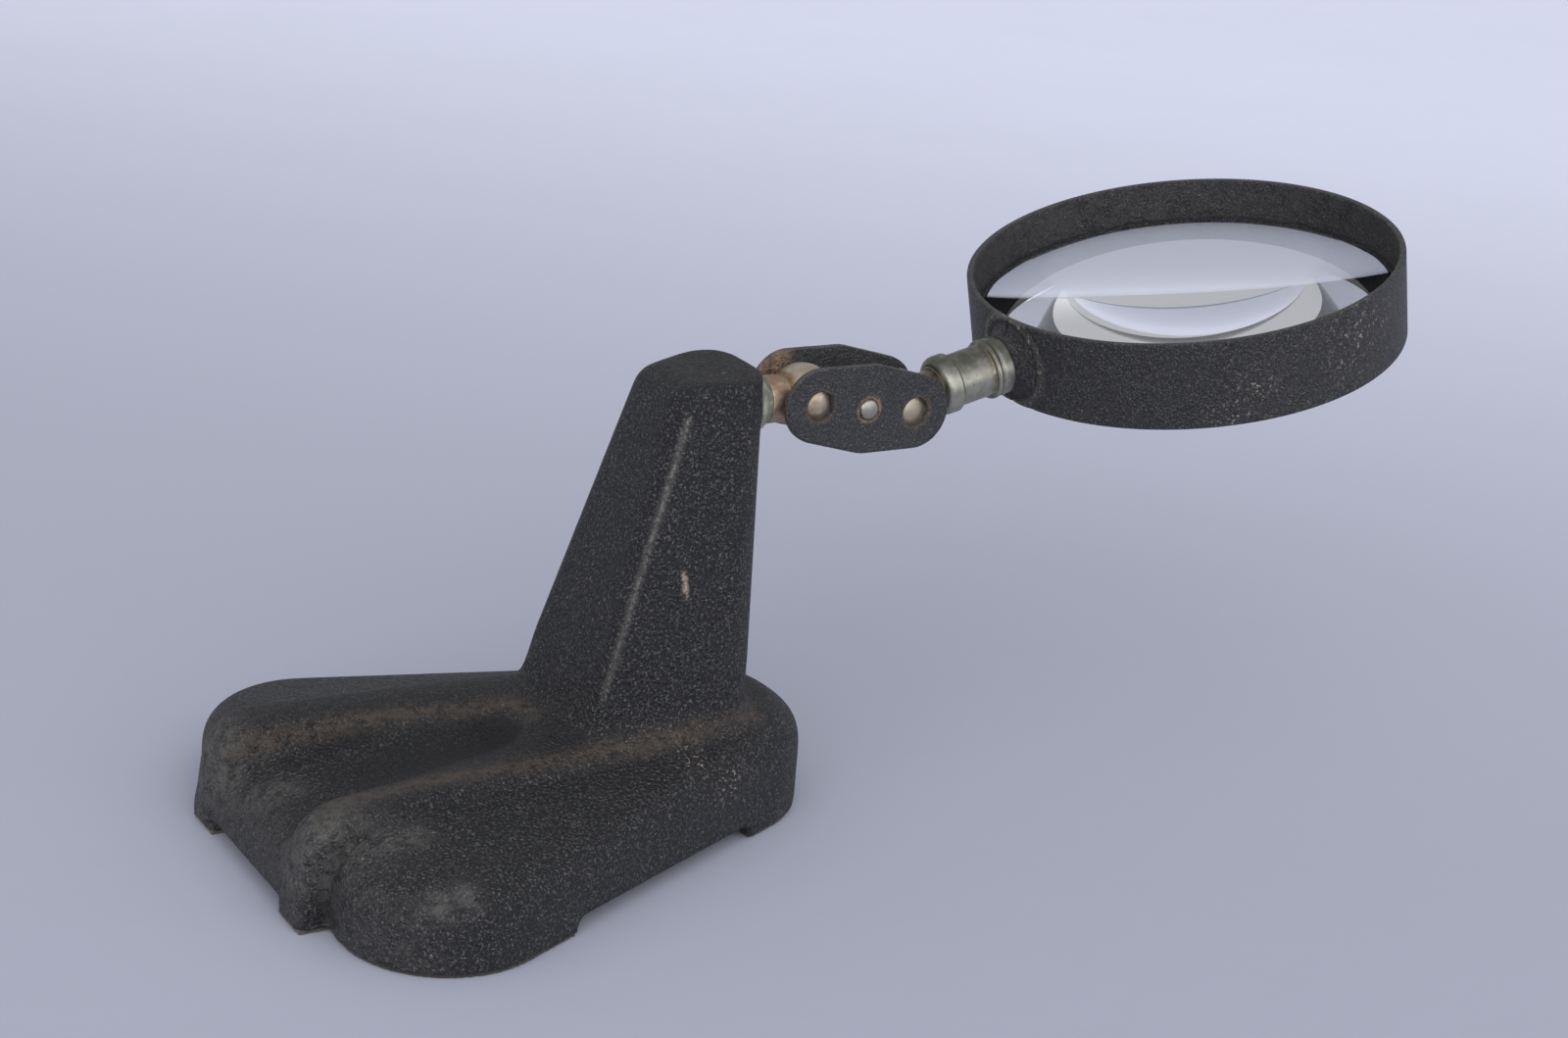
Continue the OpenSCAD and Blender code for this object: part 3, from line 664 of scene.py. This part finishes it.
def add_felts():
    """Pressed felts with ragged edges."""
    rng = np.random.default_rng(3)
    for name, inset, tuft in FELTS:
        piece = refined(name + "_ragged", name, 0.45 * MM, 1, FELT, "base")
        mesh = piece.data
        co, no = points_of(mesh), normals_of(mesh)
        sideways = 1 - np.abs(no[:, 2])
        shift = (rng.uniform(-0.25, 0.3, len(co)) - inset) * MM * sideways
        co[:, :2] += no[:, :2] * shift[:, None]
        co[:, 2] = np.maximum(co[:, 2], 0)
        mesh.vertices.foreach_set("co", co.ravel())
        mesh.update()
        paint(mesh, "tuft", tuft * (0.4 + 0.6 * (rng.uniform(0, 1, len(co)) > 0.4)))


add_felts()


# Studs, collars and sleeve
def add_column_ball(collar_front):
    ball_r = span("base_ball_stud", BALL, FORWARD)[1]
    meet = math.sqrt(ball_r ** 2 - NECK_R ** 2)
    outline = [(collar_front, 0), (collar_front, NECK_R), (-meet - 1.0 * MM, NECK_R)]
    outline += arc(0, 0, ball_r, math.degrees(math.acos(-meet / ball_r)) - 4, 0, 40)
    ball = lathe("column_ball", dense(outline, 0.4 * MM), BALL, FORWARD, BALL_METAL,
                 "base_stud", ["base_ball_stud"], lumps=0.05 * MM)
    rel = points_of(ball.data) - np.array(BALL)
    along = rel[:, 0]
    near_neck = 1 - step(along, -meet - 0.5 * MM, -0.5 * meet)
    in_plate_hole = np.hypot(rel[:, 0], rel[:, 2]) < HOLE_R
    hole_side = in_plate_hole * (1 - step(along, -2.5 * MM, 1.5 * MM))
    paint(ball.data, "copper", np.maximum(near_neck, hole_side))
    paint(ball.data, "stain", np.exp(-((along + meet) / (0.8 * MM)) ** 2))


def add_column_shank(collar_front):
    start = span("base_ball_stud", BALL, FORWARD)[0]
    chamfer = 0.4 * MM
    end = collar_front + 0.1 * MM
    outline = [(start, 0), (start, SHANK_R - chamfer), (start + chamfer, SHANK_R),
               (end, SHANK_R), (end, 0)]
    lathe("column_stud_shank", outline, BALL, FORWARD, STEEL, "base_stud", [])


def add_column_collar():
    back, front = span("base_stud_collar", BALL, FORWARD)
    wide = reach("base_stud_collar", BALL, FORWARD)
    edge = 0.35 * MM
    cone = [(back, SHANK_R), (back, wide - edge), (back + edge, wide),
            (back + 4 * edge, wide - edge), (front - edge, NECK_R + edge),
            (front, NECK_R), (front, SHANK_R)]
    lathe("column_collar", dense(cone, 0.3 * MM), BALL, FORWARD, VERDIGRIS, "base_stud",
          ["base_stud_collar"], lumps=0.22 * MM)


def add_lens_ball(collar_near):
    ball_r = -span("lens_ball_stud", LENS_BALL, ARM)[0]
    meet = math.sqrt(ball_r ** 2 - LENS_NECK_R ** 2)
    outline = arc(0, 0, ball_r, 180, math.degrees(math.acos(meet / ball_r)) + 3, 40)
    outline += [(meet + 0.8 * MM, LENS_NECK_R + 0.1 * MM), (collar_near, LENS_NECK_R),
                (collar_near, 0)]
    ball = lathe("lens_ball", outline, LENS_BALL, ARM, BALL_METAL, "lens_stud",
                 ["lens_ball_stud"])
    along = (points_of(ball.data) - np.array(LENS_BALL)) @ np.array(ARM)
    paint(ball.data, "stain", step(along, meet - 1.5 * MM, meet + 1 * MM) * 0.7)


def add_lens_collar():
    near, far = span("lens_stud_collar", LENS_BALL, ARM)
    wide = reach("lens_stud_collar", LENS_BALL, ARM)
    lip = 0.3 * MM
    outline = [(near, SHANK_R), (near, wide - COLLAR_EDGE)]
    outline += arc(near + COLLAR_EDGE, wide - COLLAR_EDGE, COLLAR_EDGE, 180, 90, 10)
    outline += [(far - lip, wide), (far, wide - lip), (far, SHANK_R)]
    collar = lathe("lens_collar", dense(outline, 0.5 * MM), LENS_BALL, ARM, NICKEL, "lens_stud",
                   ["lens_stud_collar"])
    rel = points_of(collar.data) - np.array(LENS_BALL)
    along = rel @ np.array(ARM)
    upward = rel @ np.array(LENS_UP) / wide
    paint(collar.data, "stain", step(along, far - 0.5 * MM, far))
    # Painted dark reflection along the collar's top and painted shade along its underside
    paint(collar.data, "painted_reflection_and_tarnish", np.maximum(step(upward, 0.35, 0.8), step(-upward, 0.6, 0.9)))


def add_sleeve():
    start, end = span("neck_sleeve", LENS_BALL, ARM)
    band_r = SLEEVE_R + END_BAND_H
    bead_at = end - BEAD_X
    lip = 0.25 * MM
    outline = [(start, SLEEVE_R - SLEEVE_T), (start, SLEEVE_R - lip), (start + lip, SLEEVE_R),
               (bead_at - BEAD_HALF - 2 * lip, SLEEVE_R)]
    outline += [(bead_at + BEAD_HALF * math.cos(math.radians(a)),
                 SLEEVE_R + BEAD_H * math.sin(math.radians(a))) for a in range(172, 8, -12)]
    outline += [(bead_at + BEAD_HALF + lip, band_r - lip), (bead_at + BEAD_HALF + 2 * lip, band_r),
                (end - lip, band_r), (end, band_r - lip), (end, SLEEVE_R - SLEEVE_T)]
    piece = lathe("sleeve", dense(outline, 0.5 * MM), LENS_BALL, ARM, NICKEL, "lens_head",
                  ["neck_sleeve"])
    rel = points_of(piece.data) - np.array(LENS_BALL)
    along = rel @ np.array(ARM)
    upward = rel @ np.array(LENS_UP) / SLEEVE_R
    beside_bead = np.exp(-((along - bead_at + BEAD_HALF + 0.4 * MM) / (0.7 * MM)) ** 2)
    at_start = 1 - step(along, start, start + 0.5 * MM)
    paint(piece.data, "stain", np.maximum(0.9 * beside_bead, at_start))
    # Painted dark reflection along the sleeve's top and painted shade along its underside
    paint(piece.data, "painted_reflection_and_tarnish", np.maximum(step(upward, 0.25, 0.7), step(-upward, 0.7, 1.0)))


COLUMN_COLLAR_FRONT = span("base_stud_collar", BALL, FORWARD)[1]
add_column_ball(COLUMN_COLLAR_FRONT)
add_column_shank(COLUMN_COLLAR_FRONT)
add_column_collar()
add_lens_ball(span("lens_stud_collar", LENS_BALL, ARM)[0])
add_lens_collar()
add_sleeve()


# Clamp link
LINK_MIDDLE = (BALL + LENS_BALL) / 2
KNURLS = 40


def off_axis(co, point):
    """Each vertex's distance from the line through a point across the link."""
    return np.hypot(co[:, 0] - point.x, co[:, 2] - point.z)


def add_plate(node, inner_copper, rim_copper):
    """A plate of the link, with rust round the screw and copper at its left end."""
    piece = refined(node + "_worn", node, 0.24 * MM, 9, PLATE_ENAMEL, "link")
    mesh = piece.data
    co, no, out = points_of(mesh), normals_of(mesh), bulge(mesh)
    rim = step(1 - np.abs(no[:, 1]), 0.25, 0.7)
    in_hole = 1 - step(np.minimum(off_axis(co, BALL), off_axis(co, LENS_BALL)),
                       HOLE_R + 0.3 * MM, HOLE_R + 1.2 * MM)
    rust = 1 - step(off_axis(co, LINK_MIDDLE), SCREW_R + 0.4 * MM, SCREW_R + 1.3 * MM)
    left_end = 1 - step(co[:, 0], BALL.x - 5 * MM, BALL.x + 4 * MM)
    inner_face = step(-no[:, 1], 0.5, 0.9)
    coppery = np.maximum(inner_copper * inner_face, rim_copper * rim)
    paint(mesh, "worn", np.maximum(in_hole, rust))
    paint(mesh, "copper", np.clip(left_end * coppery + 0.75 * rust, 0, 1))
    paint(mesh, "dust", np.full(len(co), 0.1))
    paint(mesh, "bare", rim * step(out, 0.0, 0.05) * (1 - in_hole) * 0.35)


def add_screw():
    """The clamp screw, with a knurled head on the far side."""
    start, end = span("clamp_screw", LINK_MIDDLE, ACROSS)
    head_start = span("clamp_washer", LINK_MIDDLE, ACROSS)[1]
    head_r = reach("clamp_screw", LINK_MIDDLE, ACROSS)
    chamfer = 0.5 * MM
    outline = [(start, 0), (start + 0.15 * MM, SCREW_R - chamfer),
               (start + 0.4 * MM, SCREW_R), (head_start, SCREW_R),
               (head_start, head_r - chamfer), (head_start + chamfer, head_r),
               (end - chamfer, head_r), (end, head_r - chamfer), (end, 0)]
    piece = lathe("clamp_thumbscrew", outline, LINK_MIDDLE, ACROSS, NICKEL, "link",
                  ["clamp_screw"], KNURLS * 4)
    co = points_of(piece.data)
    rel = co - np.array(LINK_MIDDLE)
    radius = np.hypot(rel[:, 0], rel[:, 2])
    turn = np.arctan2(rel[:, 2], rel[:, 0])
    on_head = (radius > head_r - 0.1 * MM).astype(float)
    shrink = 1 - on_head * 0.05 * (0.5 + 0.5 * np.cos(turn * KNURLS))
    co[:, 0] = LINK_MIDDLE.x + rel[:, 0] * shrink
    co[:, 2] = LINK_MIDDLE.z + rel[:, 2] * shrink
    piece.data.vertices.foreach_set("co", co.ravel())
    piece.data.update()
    paint(piece.data, "painted_reflection_and_tarnish", 0.8 * step(rel[:, 1], 0, 1 * MM))
    paint(piece.data, "stain", (rel[:, 1] < start + 0.5 * MM) * step(radius, 1.9 * MM, 2.5 * MM))


add_plate("front_plate", 0.0, 0.15)
add_plate("rear_plate", 1.0, 0.7)
add_screw()


# Band and lens. Round the neck the band flares out, and a groove, a ridge and another groove
# follow, each given by its radius, height and width. A split runs across the band there.
BAND_OUTER = span("ring_band", CENTRE, ACROSS)[1]
BAND_INNER = BAND_OUTER - BAND_T
BAND_HALF = span("ring_band", CENTRE, LENS_UP)[1]
BAND_EDGE = 0.5 * MM
NECK_OUT = -span("neck_sleeve", CENTRE, ARM)[1] - BAND_OUTER - 0.06 * MM
OUTER_GROOVE_R = 12.6 * MM
RIDGE_R = (FLARE_R + OUTER_GROOVE_R) / 2
NECK_RINGS = ((FLARE_R, -0.45 * MM, 0.45 * MM), (RIDGE_R, 0.22 * MM, 1.0 * MM),
              (OUTER_GROOVE_R, -0.16 * MM, 0.5 * MM))
CRACK_W = 0.32 * MM
CRACK_DEPTH = 0.75 * MM
CRACK_WANDER = 0.35 * MM
CRACK_NOTCH = 0.35 * MM
NECK_ANGLE = 16
FACE_RINGS = 60


def fading(distance, width):
    """1 at no distance, and fading over the width."""
    return math.exp(-(distance / width) ** 2)


def outer_wall(turn, w):
    """The radius of the band's outer wall at an angle from the neck and a height."""
    side = BAND_OUTER * math.sin(turn)
    if math.cos(turn) < 0.5:
        return BAND_OUTER
    from_neck = math.hypot(side, w)
    radius = BAND_OUTER
    if from_neck < FLARE_R:
        fall = min((FLARE_R - from_neck) / (FLARE_R - BAND_NECK_R), 1)
        radius += NECK_OUT * (1 - math.sqrt(max(1 - fall * fall, 0))) / math.cos(turn)
    if from_neck > BAND_NECK_R:
        for ring_r, height, width in NECK_RINGS:
            radius += height * fading(from_neck - ring_r, width)
        wander = CRACK_WANDER * noise.noise(Vector((w * 500, 3.1, 0)))
        radius -= CRACK_DEPTH * fading(side - wander, CRACK_W)
    return radius


def rounded_edge(up, lip, notch):
    """The outer and the inner bend of the band's upper or lower edge, from outside inwards."""
    top = up * (BAND_HALF - notch)
    bends = np.radians((30, 60, 90))
    outside = [(lip - BAND_EDGE * (1 - math.cos(a)), top - up * BAND_EDGE * (1 - math.sin(a)))
               for a in bends]
    inside = [(BAND_INNER + BAND_EDGE * (1 - math.sin(a)),
               top - up * BAND_EDGE * (1 - math.cos(a))) for a in (0, *bends)]
    return outside + inside


def band_section(turn):
    """The band's outline at an angle from the neck, as (radius, height) points."""
    side = BAND_OUTER * math.sin(turn)
    at_crack = math.cos(turn) > 0.5 and abs(side) < 2 * MM
    notch = CRACK_NOTCH * fading(side, CRACK_W) if at_crack else 0
    heights = np.linspace(BAND_EDGE - BAND_HALF, BAND_HALF - BAND_EDGE, 96)
    outer = [(outer_wall(turn, w), w) for w in heights]
    low_lip, high_lip = (min(outer[end][0], BAND_OUTER + 0.3 * MM) for end in (0, -1))
    inner = [(BAND_INNER, w) for w in np.linspace(BAND_HALF - 2 * BAND_EDGE,
                                                  2 * BAND_EDGE - BAND_HALF, 24)]
    return (outer + rounded_edge(1, high_lip, notch) + inner
            + rounded_edge(-1, low_lip, notch)[::-1])


def paint_band(mesh):
    co, no = points_of(mesh), normals_of(mesh)
    rel = co - np.array(CENTRE)
    along = rel @ np.array(ARM)
    from_neck = np.hypot(rel[:, 1], rel @ np.array(LENS_UP))
    ridge = np.exp(-((from_neck - RIDGE_R) / (1.3 * MM)) ** 2) * (along < -0.8 * BAND_OUTER)
    on_inner = np.hypot(rel[:, 1], along) < BAND_OUTER - 0.7 * BAND_T
    paint(mesh, "dust", 0.12 + 0.23 * on_inner)
    paint(mesh, "bare", 0.12 * step(no @ np.array(LENS_UP), 0.5, 1) + 0.16 * ridge)
    paint(mesh, "chips", np.maximum(patches(co, BAND_CHIPS) * 0.7, ridge * 0.5))


def add_band():
    near = np.radians(np.linspace(-NECK_ANGLE, NECK_ANGLE, 170))
    rest = np.radians(np.linspace(NECK_ANGLE, 360 - NECK_ANGLE, 250)[1:-1])
    rows = []
    for turn in np.concatenate([near, rest]):
        away = -ARM * math.cos(turn) + ACROSS * math.sin(turn)
        rows.append([tuple(CENTRE + away * r + LENS_UP * w) for r, w in band_section(turn)])
    mesh = grid_mesh("band", rows, closed_rows=True, closed_columns=True)
    add_piece("lens_band", mesh, BAND_ENAMEL, "lens_head", ["ring_band"])
    paint_band(mesh)


def add_lens():
    """The glass, clear on its two round faces and ground on its edge."""
    radius = span("lens", LENS_MIDDLE, ACROSS)[1]
    sag = span("lens", LENS_MIDDLE, LENS_UP)[1] - LENS_EDGE
    curve = (radius ** 2 + sag ** 2) / (2 * sag)
    face = [(LENS_EDGE + math.sqrt(curve ** 2 - r ** 2) - (curve - sag), r)
            for r in np.linspace(0, radius - 0.3 * MM, FACE_RINGS)]
    rim = LENS_EDGE - 0.1 * MM
    outline = [(-x, r) for x, r in face] + [(-rim, radius), (rim, radius)] + face[::-1]
    piece = lathe("magnifying_lens", outline, LENS_MIDDLE, LENS_UP, GLASS, "lens_head",
                  ["lens"], 256)
    piece.data.materials.append(GROUND_GLASS)
    across_outline = len(outline) - 1
    for index, polygon in enumerate(piece.data.polygons):
        if FACE_RINGS - 1 <= index % across_outline <= FACE_RINGS + 1:
            polygon.material_index = 1


add_band()
add_lens()


# Small CAD pieces that keep their shape
for node, material in (("base_stud_washer", STEEL), ("base_stud_nut", STEEL),
                       ("clamp_washer", STEEL), ("sleeve_pin", STEEL),
                       ("upper_lens_ring", BAND_ENAMEL), ("lower_lens_ring", BAND_ENAMEL)):
    NODES[node].data.materials.clear()
    NODES[node].data.materials.append(material)


# Floor and light
FLOOR_HALF = 4.0
WINDOW_PLACE = (-0.80, -1.00, 1.00)
WINDOW_TARGET = (0, 0, 0.05)
WINDOW_SIZE = (1.4, 1.1)
WINDOW_POWER = 1.2
ROOM_COLOUR = (0.93, 0.945, 1.0, 1)
ROOM_BRIGHT_SIDE = Vector((-0.35, -0.93, -0.10)).normalized()
ROOM_DARK, ROOM_BRIGHT = 0.49, 2.20


def add_floor():
    mesh = grid_mesh("floor", [[(-FLOOR_HALF, y, 0), (FLOOR_HALF, y, 0)]
                               for y in (-FLOOR_HALF, FLOOR_HALF)])
    floor = add_piece("floor", mesh, PAPER)


def add_window():
    light = bpy.data.lights.new("window", "AREA")
    light.shape = "RECTANGLE"
    light.size, light.size_y = WINDOW_SIZE
    light.energy = WINDOW_POWER
    lamp = bpy.data.objects.new("window", light)
    lamp.location = WINDOW_PLACE
    way = Vector(WINDOW_TARGET) - Vector(WINDOW_PLACE)
    lamp.rotation_euler = way.to_track_quat("-Z", "Y").to_euler()
    bpy.context.scene.collection.objects.link(lamp)


def add_world():
    """A pale room, brightest in the direction that ROOM_BRIGHT_SIDE gives."""
    world = bpy.data.worlds.new("studio")
    bpy.context.scene.world = world
    world.use_nodes = True
    nodes, links = world.node_tree.nodes, world.node_tree.links
    way = nodes.new("ShaderNodeTexCoord").outputs["Generated"]
    lean = nodes.new("ShaderNodeVectorMath")
    lean.operation = "DOT_PRODUCT"
    lean.inputs[1].default_value = ROOM_BRIGHT_SIDE
    links.new(way, lean.inputs[0])
    ramp = nodes.new("ShaderNodeMapRange")
    ramp.interpolation_type = "SMOOTHSTEP"
    for key, value in (("From Min", -0.3), ("From Max", 1.0), ("To Min", ROOM_DARK),
                       ("To Max", ROOM_BRIGHT)):
        ramp.inputs[key].default_value = value
    links.new(lean.outputs["Value"], ramp.inputs["Value"])
    nodes["Background"].inputs["Color"].default_value = ROOM_COLOUR
    links.new(ramp.outputs["Result"], nodes["Background"].inputs["Strength"])


add_floor()
add_world()
add_window()
bpy.context.scene.view_settings.view_transform = "Standard"
